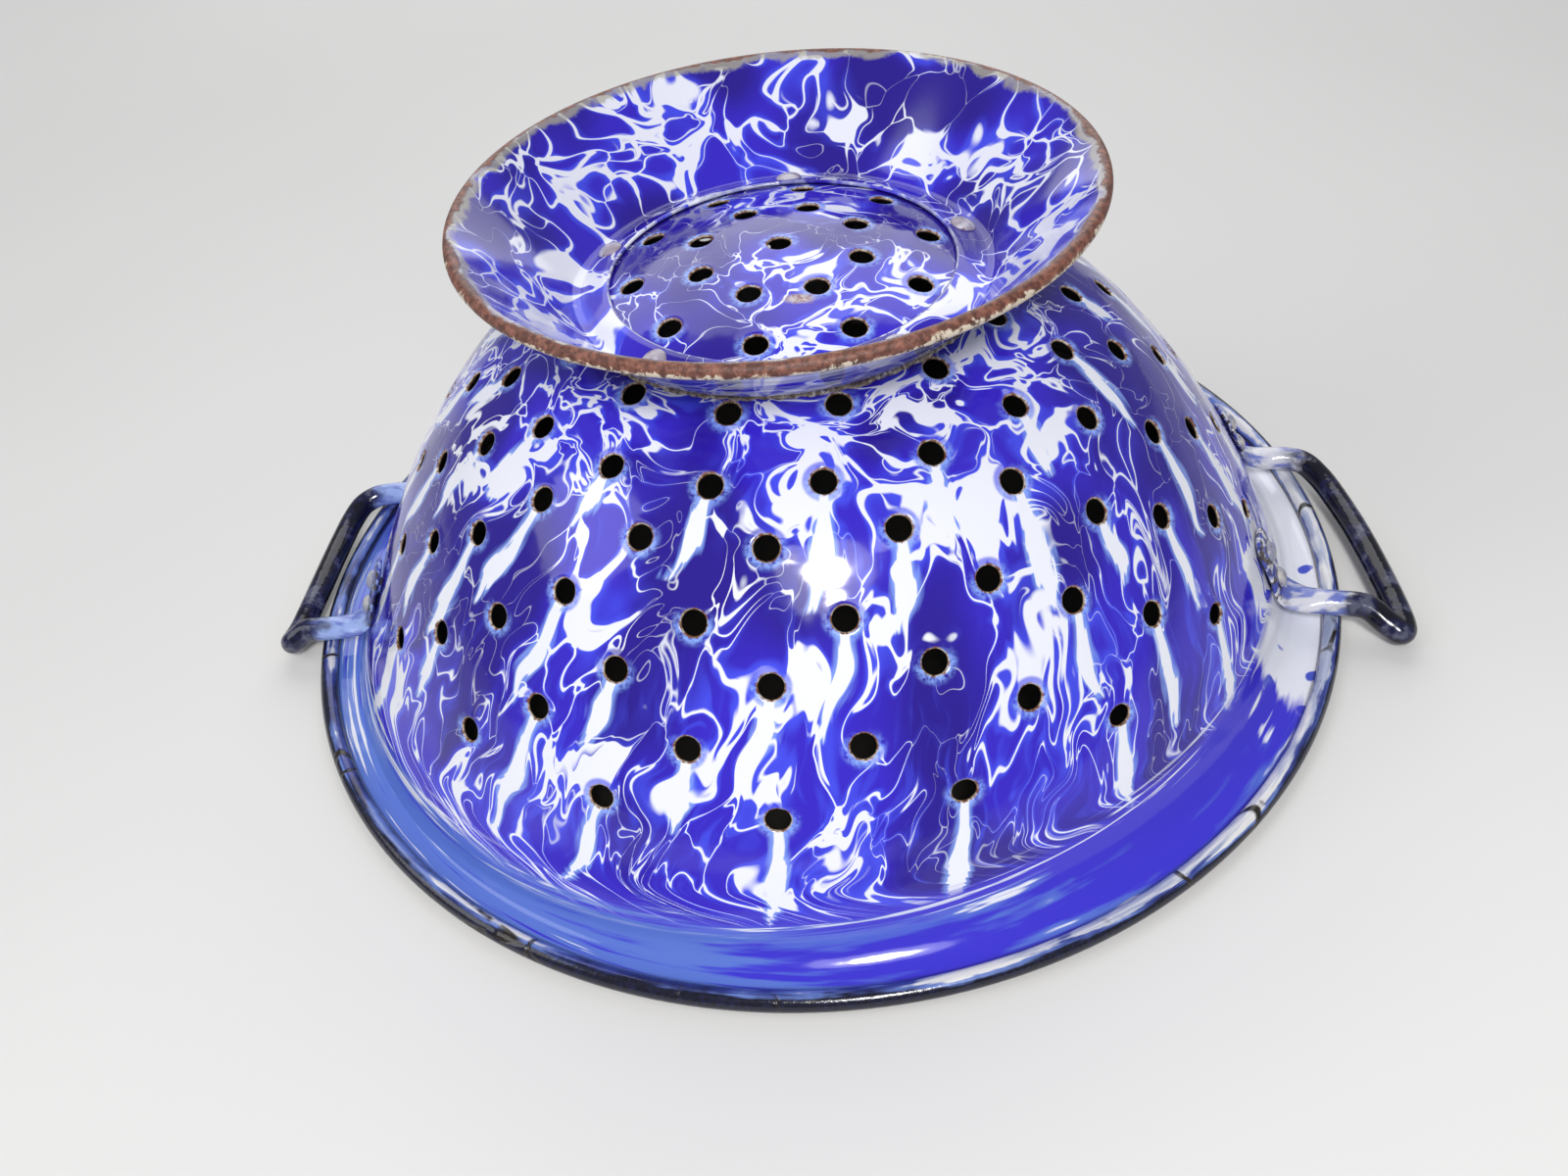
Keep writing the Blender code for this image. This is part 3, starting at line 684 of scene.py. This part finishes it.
def foot_profile():
    """Upper side of the sheet from the flange's inner edge to the end of the lip's curl:
    distance from the axis, height and the angle of the normal from +Z."""
    reach = DOME_RADIUS + GAP + SHEET
    corner_angle = math.asin(FOOT_CORNER / reach)
    corner = DOME_CENTRE + (reach + FOOT_FILLET) * outward(corner_angle)
    stretches = [
        arc(DOME_CENTRE, reach, math.asin(FOOT_FLANGE_INNER / reach), corner_angle, 4),
        arc(corner, -FOOT_FILLET, corner_angle, -FOOT_FLARE, 8),
        (np.linspace(corner - FOOT_FILLET * outward(-FOOT_FLARE),
                     FOOT_BEAD + FOOT_BEAD_RADIUS * outward(-FOOT_FLARE), FOOT_STRAIGHT_ROWS + 1),
         np.full(FOOT_STRAIGHT_ROWS + 1, -FOOT_FLARE)),
        arc(FOOT_BEAD, FOOT_BEAD_RADIUS, -FOOT_FLARE, FOOT_CURL_END, 22),
    ]
    return joined(stretches)


def foot_patches():
    """The profile's upper side, a half-round edge, its under side and a second edge, turned
    about the axis and closed on itself."""
    upper, angles = foot_profile()
    lower = upper - SHEET * outward(angles)
    turn = np.radians([45.0, 90.0, 135.0])
    half = SHEET / 2

    def edge(end, way):
        middle = upper[end] - half * outward(angles[end])
        along = outward(angles[end] + way * np.pi / 2)
        return middle + half * (np.cos(turn)[:, None] * outward(angles[end])
                                + np.sin(turn)[:, None] * along)

    loop = np.concatenate([upper, edge(-1, 1), lower[::-1], edge(0, -1)[::-1], upper[:1]])
    run = np.append(0.0, np.cumsum(np.hypot(*np.diff(upper, axis=0).T)))
    along = np.concatenate([run, np.full(3, run[-1]), run[::-1], np.zeros(3), [0.0]])
    azimuth = np.arange(FOOT_AROUND) * 2 * np.pi / FOOT_AROUND
    points = np.stack([loop[:, :1] * np.cos(azimuth), loop[:, :1] * np.sin(azimuth),
                       loop[:, 1:] + 0 * azimuth], axis=-1)
    patches = Patches()
    split = len(upper) + 2
    for rows, paint in ((slice(0, split), 0), (slice(split - 1, None), 1)):
        patches.add(points[rows], (0.0, 0.0), paint, close=True, along=along[rows, None] / MM)
    return patches


def foot_enamel(name, shaded):
    """The same swirl on the foot, rusty along the worn lip.  The shaded under side has greyer
    streaks that run round it."""
    f = Finish(name)
    along = f.attribute("along")
    spoke = f.vector("NORMALIZE", f.vector("MULTIPLY", f.here, (1, 1, 0)))
    point = f.round_axis(spoke, 0.03, f.part(f.here, 2)) if shaded else f.here
    pools = f.step(f.noise(f.here, 26 * MM, 1.0), 0.46, 0.58)
    calm = f.step(f.noise(f.here, 31 * MM, 0.0), 0.52, 0.62) * 0.8
    white, glow, slow = swirl(f, point, pools * 0.8, calm, 13.0 * MM, 0.37, 0.2)
    blue = f.blend(f.step(slow, 0.38, 0.60), DEEP_COBALT, COBALT)
    blue = f.blend(glow * 0.8, blue, BRIGHT_BLUE)
    colour = f.blend(white, blue, WHITE_ENAMEL)
    if shaded:
        band = f.noise(f.round_axis(spoke, 4.0, along * 0.5), 1.0, 3.0, 0.6)
        colour = f.blend(f.step(band, 0.40, 0.58) * 0.8, colour, (0.36, 0.38, 0.52))
    grain = f.noise(f.here, 1.6 * MM, 4.0, 0.7)
    cloud = f.noise(f.here, 11 * MM, 3.0, 0.6)
    edge_run = along + (grain - 0.5) * 2.0 + (cloud - 0.5) * 5.0
    lip = f.step(edge_run, 38.4, 39.2)
    worn = f.step(edge_run + (cloud - 0.5) * 4.0, 36.3, 37.8) * 0.75
    colour = f.blend(worn, colour, (0.36, 0.34, 0.25))
    rust = f.blend(f.step(grain, 0.38, 0.68), (0.085, 0.028, 0.018), (0.27, 0.105, 0.070))
    colour = f.blend(lip, colour, rust)
    chipped = f.step(edge_run + grain * 2.2 + cloud * 1.2, 43.6, 44.1)
    fringe = f.blend(f.step(grain, 0.42, 0.50), (0.09, 0.05, 0.035), CREAM)
    colour = f.blend(chipped, colour, fringe)
    return f.finish(colour, lip * 0.4 + 0.10, grain * lip, 0.25 * MM)


foot = foot_patches().piece("foot_shell", [foot_enamel("cobalt_swirl_foot", False),
                                           foot_enamel("cobalt_swirl_foot_under", True)])
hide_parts("foot")

# Seam crust.  A lumpy bead of thick glaze and rust that bridges the crevice between the
# foot's wall and the dome; the enamel pooled there in firing and has chipped since.
CRUST_RING = 46.75 * MM
CRUST_AROUND = 720
CRUST_SIDES = 12
CRUST_HALF_WIDTH = 0.70 * MM
CRUST_HALF_HEIGHT = 0.60 * MM
CRUST_WAVES = ((5, 0.4), (11, 1.9), (23, 4.1), (37, 0.7), (61, 2.6), (97, 5.2))


def lumps(azimuth, shift):
    """Uneven swelling round the ring: a sum of sines, from about -1 to 1."""
    waves = [np.sin(count * azimuth + phase * shift) for count, phase in CRUST_WAVES]
    return np.sum(waves, axis=0) / 3.2


def crust_patches():
    """Flattened tube on the dome whose width, height and distance from the axis wander."""
    azimuth = np.arange(CRUST_AROUND + 1) * 2 * np.pi / CRUST_AROUND
    azimuth[-1] = 0.0
    turn = np.arange(CRUST_SIDES) * 2 * np.pi / CRUST_SIDES
    ring = CRUST_RING + 0.25 * MM * lumps(azimuth, 1.0)
    width = CRUST_HALF_WIDTH * (1 + 0.35 * lumps(azimuth, 2.0))
    height = CRUST_HALF_HEIGHT * (1 + 0.55 * lumps(azimuth, 3.0))
    tilt = np.arcsin(ring / DOME_RADIUS)
    side = width[:, None] * np.cos(turn)
    up = height[:, None] * np.sin(turn)
    radius = ring[:, None] + side * np.cos(tilt)[:, None] + up * np.sin(tilt)[:, None]
    level = DOME_CENTRE[1] + DOME_RADIUS * np.cos(tilt)[:, None]
    level = level - side * np.sin(tilt)[:, None] + up * np.cos(tilt)[:, None]
    spoke = np.stack([np.cos(azimuth), np.sin(azimuth)], axis=-1)[:, None]
    points = np.concatenate([radius[..., None] * spoke, level[..., None]], axis=-1)
    patches = Patches()
    patches.add(points, (0.0, 0.0), 0, close=True)
    return patches


def crust_enamel():
    f = Finish("crusted_glaze")
    grain = f.noise(f.here, 0.9 * MM, 4.0, 0.7)
    patch = f.noise(f.here, 6 * MM, 2.0, 0.6)
    brown = f.blend(f.step(grain, 0.36, 0.58), (0.09, 0.06, 0.05), (0.34, 0.28, 0.22))
    chips = f.step(grain + (patch - 0.5) * 0.7, 0.56, 0.62)
    colour = f.blend(chips, brown, (0.66, 0.63, 0.58))
    colour = f.blend(f.step(patch, 0.58, 0.66), colour, (0.10, 0.09, 0.30))
    return f.finish(colour, 0.42, grain, 0.3 * MM)


crust_patches().piece("foot_seam_crust", [crust_enamel()])

# Handles.  Each is one rod of round steel bent to a square loop, its two ends beaten
# flat into ears that lie on the wall; dipped in black enamel that ran to white and blue
# where the legs meet the bowl.
EAR_AZIMUTH = math.radians(13)
EAR_CLEARANCE = 0.45 * MM
EAR_HALF_WIDTH = 5.5 * MM
EAR_HALF_THICK = 0.9 * MM
EAR_HEIGHTS = np.array([26.5, 23.0, 17.0, 11.0]) * MM
EAR_FACE = (0.9, 0.42)
EAR_PLACES, LEAN_PLACES, NECK_PLACES, TIP_PLACES = 3.0, 1.6, 2.0, 0.9
HANDLE_ROUTES = {
    "right": (0.0, np.array([
        (120.5, 27.6, 8.4), (126.8, 27.0, 8.4), (131.8, 25.0, 8.3), (135.2, 20.0, 7.2),
        (137.6, 12.5, 6.3), (140.2, -1.0, 5.6), (142.0, -17.0, 5.0), (143.0, -31.0, 4.4),
        (142.2, -35.6, 4.3), (139.0, -33.6, 5.6), (134.6, -30.4, 7.9), (127.3, -29.2, 8.4),
        (120.5, -27.6, 8.4)])),
    "left": (math.pi, np.array([
        (120.5, 27.6, 8.4), (127.3, 28.8, 8.4), (132.6, 29.0, 8.1), (136.3, 30.6, 6.2),
        (137.6, 29.4, 4.7), (137.0, 24.0, 4.6), (136.4, 13.0, 5.4), (136.2, 0.0, 5.8),
        (136.0, -10.5, 6.0), (135.2, -17.5, 6.7), (133.4, -22.8, 7.7), (130.0, -25.8, 8.3),
        (126.0, -26.8, 8.4), (120.5, -27.6, 8.4)])),
}
ROD_RADIUS = 3.1 * MM
ROD_SIDES = 28
ROUTE_STEPS = 8


def smooth_route(points, steps):
    """Catmull-Rom curve through all the points, each stretch cut in equal steps."""
    ends = np.concatenate([[2 * points[0] - points[1]], points, [2 * points[-1] - points[-2]]])
    t = (np.arange(steps) / steps)[None, :, None]
    before, start, end, after = [ends[i:len(ends) - 3 + i, None] for i in range(4)]
    bend = (2 * before - 5 * start + 4 * end - after) * t ** 2
    twist = (3 * start - before - 3 * end + after) * t ** 3
    route = 0.5 * (2 * start + (end - before) * t + bend + twist)
    return np.concatenate([route.reshape(-1, 3), points[-1:]])


def unit(vectors):
    return vectors / np.linalg.norm(vectors, axis=-1, keepdims=True)


def handle_patches(turn_by, loop):
    """Elliptical sections along the route: wide and thin over the ears, round over the rod.
    A place counts the route's points in from the nearer end."""
    angle = np.arccos((EAR_HEIGHTS - WALL_CENTRE[1]) / WALL_RADIUS)
    ear = WALL_CENTRE + (WALL_RADIUS + EAR_CLEARANCE + EAR_HALF_THICK) * outward(angle)
    spoke = np.array([math.cos(EAR_AZIMUTH), math.sin(EAR_AZIMUTH)])
    ear = np.column_stack([ear[:, :1] * spoke, ear[:, 1]])
    route = smooth_route(np.concatenate([ear, loop * MM, (ear * (1, -1, 1))[::-1]]), ROUTE_STEPS)
    place = np.minimum(np.arange(len(route)), np.arange(len(route))[::-1]) / ROUTE_STEPS
    along = unit(np.gradient(route, axis=0))
    lean = ease((place - EAR_PLACES) / LEAN_PLACES)[:, None]
    side = np.where(np.arange(len(route)) < len(route) / 2, 1.0, -1.0)
    out, up = EAR_FACE
    off_wall = np.stack([out * spoke[0] + 0 * side, out * spoke[1] * side, up + 0 * side], axis=-1)
    face = (1 - lean) * off_wall + lean * (0, 0, 1)
    face = unit(face - along * np.sum(face * along, axis=1, keepdims=True))
    width = np.cross(along, face)
    share = ease((place - EAR_PLACES) / NECK_PLACES)
    tip = np.sqrt(np.clip(1 - (1 - np.clip(place / TIP_PLACES, 0, 1)) ** 2, 0, 1))
    half_width = (EAR_HALF_WIDTH * (1 - share) + ROD_RADIUS * share) * tip
    half_thick = (EAR_HALF_THICK * (1 - share) + ROD_RADIUS * share) * np.sqrt(tip)
    turn = np.arange(ROD_SIDES) * 2 * np.pi / ROD_SIDES
    points = (route[:, None] + width[:, None] * half_width[:, None, None] * np.cos(turn)[None, :, None]
              + face[:, None] * half_thick[:, None, None] * np.sin(turn)[None, :, None])
    cosine, sine = math.cos(turn_by), math.sin(turn_by)
    points = points @ np.array([[cosine, sine, 0], [-sine, cosine, 0], [0, 0, 1]])
    run = np.append(0.0, np.cumsum(np.linalg.norm(np.diff(route, axis=0), axis=1)))
    run = np.minimum(run, run[-1] - run)
    patches = Patches()
    patches.add(points, (0.0, 0.0), 0, close=True, along=run[:, None] / MM)
    return patches


def handle_enamel():
    """Near-black grip worn grey in places, pale legs streaked with blue, crusted ears."""
    f = Finish("black_handle_enamel")
    along = f.attribute("along")
    patch = f.noise(f.here, 7 * MM, 3.0, 0.6)
    flow = f.noise(f.vector("MULTIPLY", f.here, (0.5, 1, 1)), 3 * MM, 2.0, 0.5)
    grain = f.noise(f.here, 1.8 * MM, 3.0, 0.6)
    left = 1 - f.step(f.part(f.here, 0), -0.01, 0.01)
    pale = 1 - f.step(along + patch * 26.0, 42.0, 50.0)
    ear = 1 - f.step(along + patch * 8.0, 19.0, 25.0)
    navy = f.blend(f.step(patch, 0.45, 0.65), (0.004, 0.004, 0.010), (0.012, 0.012, 0.06))
    worn = f.step(patch + (grain - 0.5) * 0.25, 0.56, 0.68) * 0.6
    navy = f.blend(worn, navy, (0.13, 0.14, 0.18))
    white = f.blend(left, (0.64, 0.64, 0.70), (0.30, 0.40, 0.72))
    leg = f.blend(f.step(flow, 0.40, 0.60), white, (0.14, 0.18, 0.50))
    streaked = f.blend(f.step(flow, 0.42, 0.55), white, (0.05, 0.07, 0.38))
    crusted = f.blend(f.step(grain, 0.42, 0.50), (0.045, 0.035, 0.040), streaked)
    colour = f.blend(pale, navy, f.blend(ear, leg, crusted))
    return f.finish(colour, ear * 0.15 + 0.12, patch + grain * ear, 0.25 * MM)


black_enamel = handle_enamel()
for side, (turn_by, loop) in HANDLE_ROUTES.items():
    handle = handle_patches(turn_by, loop).piece(f"wire_handle_{side}", [black_enamel])
    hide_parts(f"handle_{side}")

# Rivets.  Soft steel rivets with round heads, beaten over by hand and enamelled along
# with the rest: five hold the foot to the dome, four hold the ears of each handle.
TAIL_START = 3.2
RIVET_ROWS = np.array([
    (0.0, 1.40), (0.30, 1.34), (0.60, 1.10), (0.85, 0.70), (0.98, 0.30), (1.0, 0.05),
    (0.97, -0.15), (0.42, -0.2), (0.42, -TAIL_START), (0.80, -3.3), (0.82, -3.5),
    (0.6, -3.8), (0.3, -4.0), (0.0, -4.05)])
FOOT_RIVET_COUNT = 5
FOOT_RIVET_RING = 42.9 * MM
FOOT_RIVET_START = math.radians(19.4)
FOOT_RIVET_HEAD = 3.1 * MM
EAR_RIVET_HEAD = 2.5 * MM
EAR_RIVET_HEIGHTS = (14.0 * MM, 21.5 * MM)
EAR_RIVET_COUNT = 2 * len(EAR_RIVET_HEIGHTS)
RIVET_AROUND = 24


def rivet_patches(places, head, grip):
    """Turned rivet at each (azimuth, normal angle, profile point), its head a little out of
    round; the head stands on what is gripped and the tail comes out inside the bowl.  Rows
    are the share of the head's radius and the height in millimetres."""
    patches = Patches()
    turn = np.arange(RIVET_AROUND) * 2 * np.pi / RIVET_AROUND
    for number, (azimuth, angle, point) in enumerate(places):
        out_of_round = 1 + 0.05 * np.cos(2 * turn + number) + 0.03 * np.cos(3 * turn + 2 * number)
        reach = RIVET_ROWS[:, :1] * head * out_of_round
        lift = np.where(RIVET_ROWS[:, 1:] > -1, RIVET_ROWS[:, 1:] * MM + grip,
                        (RIVET_ROWS[:, 1:] + TAIL_START) * MM - SHEET) + 0 * turn
        spoke = np.array([math.cos(azimuth), math.sin(azimuth), 0])
        ring = np.array([-math.sin(azimuth), math.cos(azimuth), 0])
        up = spoke * math.sin(angle) + np.array([0, 0, math.cos(angle)])
        across = np.cross(ring, up)
        centre = spoke * point[0] + np.array([0, 0, point[1]])
        points = (centre + up * lift[..., None] + ring * (reach * np.cos(turn))[..., None]
                  + across * (reach * np.sin(turn))[..., None])
        patches.add(points, (0.0, 0.0), 0, close=True)
    return patches


def rivet_enamel(name, top, edge):
    f = Finish(name)
    fine = f.noise(f.here, 1.3 * MM, 3.0, 0.7)
    patch = f.noise(f.here, 4 * MM, 2.0)
    colour = f.blend(f.step(patch, 0.4, 0.6), top, edge)
    colour = f.blend(f.step(fine, 0.60, 0.70), colour, RUST)
    return f.finish(colour, 0.3, fine, 0.15 * MM)


foot_angle = math.asin(FOOT_RIVET_RING / DOME_RADIUS)
foot_point = DOME_CENTRE + DOME_RADIUS * outward(foot_angle)
foot_places = [(FOOT_RIVET_START + 2 * math.pi * i / FOOT_RIVET_COUNT, foot_angle, foot_point)
               for i in range(FOOT_RIVET_COUNT)]
foot_rivet_enamel = rivet_enamel("worn_rivet_enamel", (0.55, 0.53, 0.58), (0.32, 0.27, 0.32))
foot_rivets = rivet_patches(foot_places, FOOT_RIVET_HEAD, GAP + SHEET)
foot_rivets = foot_rivets.piece("foot_rivet_heads", [foot_rivet_enamel])
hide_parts(*[f"foot_rivet_{i + 1}" for i in range(FOOT_RIVET_COUNT)])
ear_grip = EAR_CLEARANCE + 2 * EAR_HALF_THICK
ear_rivet_enamel = rivet_enamel("ear_rivet_enamel", (0.26, 0.27, 0.36), (0.50, 0.48, 0.46))
for side, turn_by in (("right", 0.0), ("left", math.pi)):
    ear_places = []
    for way in (-1, 1):
        for height in EAR_RIVET_HEIGHTS:
            ear_angle = math.acos((height - WALL_CENTRE[1]) / WALL_RADIUS)
            ear_places.append((turn_by + way * EAR_AZIMUTH, ear_angle,
                               WALL_CENTRE + WALL_RADIUS * outward(ear_angle)))
    ear_rivets = rivet_patches(ear_places, EAR_RIVET_HEAD, ear_grip)
    ear_rivets = ear_rivets.piece(f"ear_rivet_heads_{side}", [ear_rivet_enamel])
    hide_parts(*[f"ear_rivet_{side}_{i + 1}" for i in range(EAR_RIVET_COUNT)])

# Floor, lights and camera.  Pale paper with a painted shadow, near black where the bowl covers it
# so that the punched holes look black, and four round softboxes: a small key with a weak glow
# round it, a fill on the left and a large one behind.
FLOOR_REACH = 4.0
SHADE_START, SHADE_END = 0.118, 0.126
AIM = (0, 0, 0.05)
SOFTBOXES = (
    ("key", (0.10, -0.55, 0.60), 0.15, 3.4),
    ("key_glow", (0.10, -0.56, 0.61), 0.34, 1.2),
    ("left_fill", (-1.1, -0.3, 0.9), 0.9, 4.6),
    ("back_fill", (-0.12, 1.5, 0.90), 2.1, 20.0),
)


def floor_paper():
    f = Finish("pale_paper_painted_shadow")
    pale = f.blend(f.noise(f.here, 0.25, 2.0), (0.66, 0.65, 0.63), (0.72, 0.71, 0.69))
    from_axis = f.vector("LENGTH", f.here, output="Value")
    # painted shadow: the paper turns near black inside the bowl's rim
    painted_shadow_under_bowl = 1 - f.step(from_axis, SHADE_START, SHADE_END)
    return f.finish(f.blend(painted_shadow_under_bowl, pale, (0.03, 0.025, 0.02)), 0.7)


def facing(place, target):
    """Matrix at a place whose -Z points to the target and whose +Y stays up."""
    look = Vector(target) - Vector(place)
    matrix = look.to_track_quat("-Z", "Y").to_matrix().to_4x4()
    matrix.translation = place
    return matrix


floor_mesh = bpy.data.meshes.new("floor")
floor_corners = [(x * FLOOR_REACH, y * FLOOR_REACH, 0) for x, y in ((-1, -1), (1, -1), (1, 1), (-1, 1))]
floor_mesh.from_pydata(floor_corners, [], [(0, 1, 2, 3)])
floor_mesh.materials.append(floor_paper())
floor = bpy.data.objects.new("floor", floor_mesh)
bpy.context.scene.collection.objects.link(floor)
for name, place, size, power in SOFTBOXES:
    light = bpy.data.lights.new(name, "AREA")
    light.shape, light.size, light.energy = "DISK", size, power
    lamp = bpy.data.objects.new(name, light)
    bpy.context.scene.collection.objects.link(lamp)
    lamp.matrix_world = facing(place, AIM)
world = bpy.data.worlds.new("studio")
world.use_nodes = True
sky = world.node_tree.nodes["Background"]
sky.inputs["Color"].default_value = (0.90, 0.93, 1.0, 1.0)
sky.inputs["Strength"].default_value = 0.30
bpy.context.scene.world = world
bpy.context.scene.view_settings.view_transform = "Standard"

camera_data = bpy.data.cameras.new("camera")
camera_data.sensor_width, camera_data.lens = 36.0, 29.87
camera = bpy.data.objects.new("camera", camera_data)
bpy.context.scene.collection.objects.link(camera)
camera.matrix_world = Matrix((
    (0.9929, 0.0295, 0.1149, 0.03202),
    (0.0628, 0.6909, -0.7202, -0.26078),
    (-0.1006, 0.7223, 0.6842, 0.23865),
    (0, 0, 0, 1),
))
camera_data.clip_start = 0.01
bpy.context.scene.camera = camera
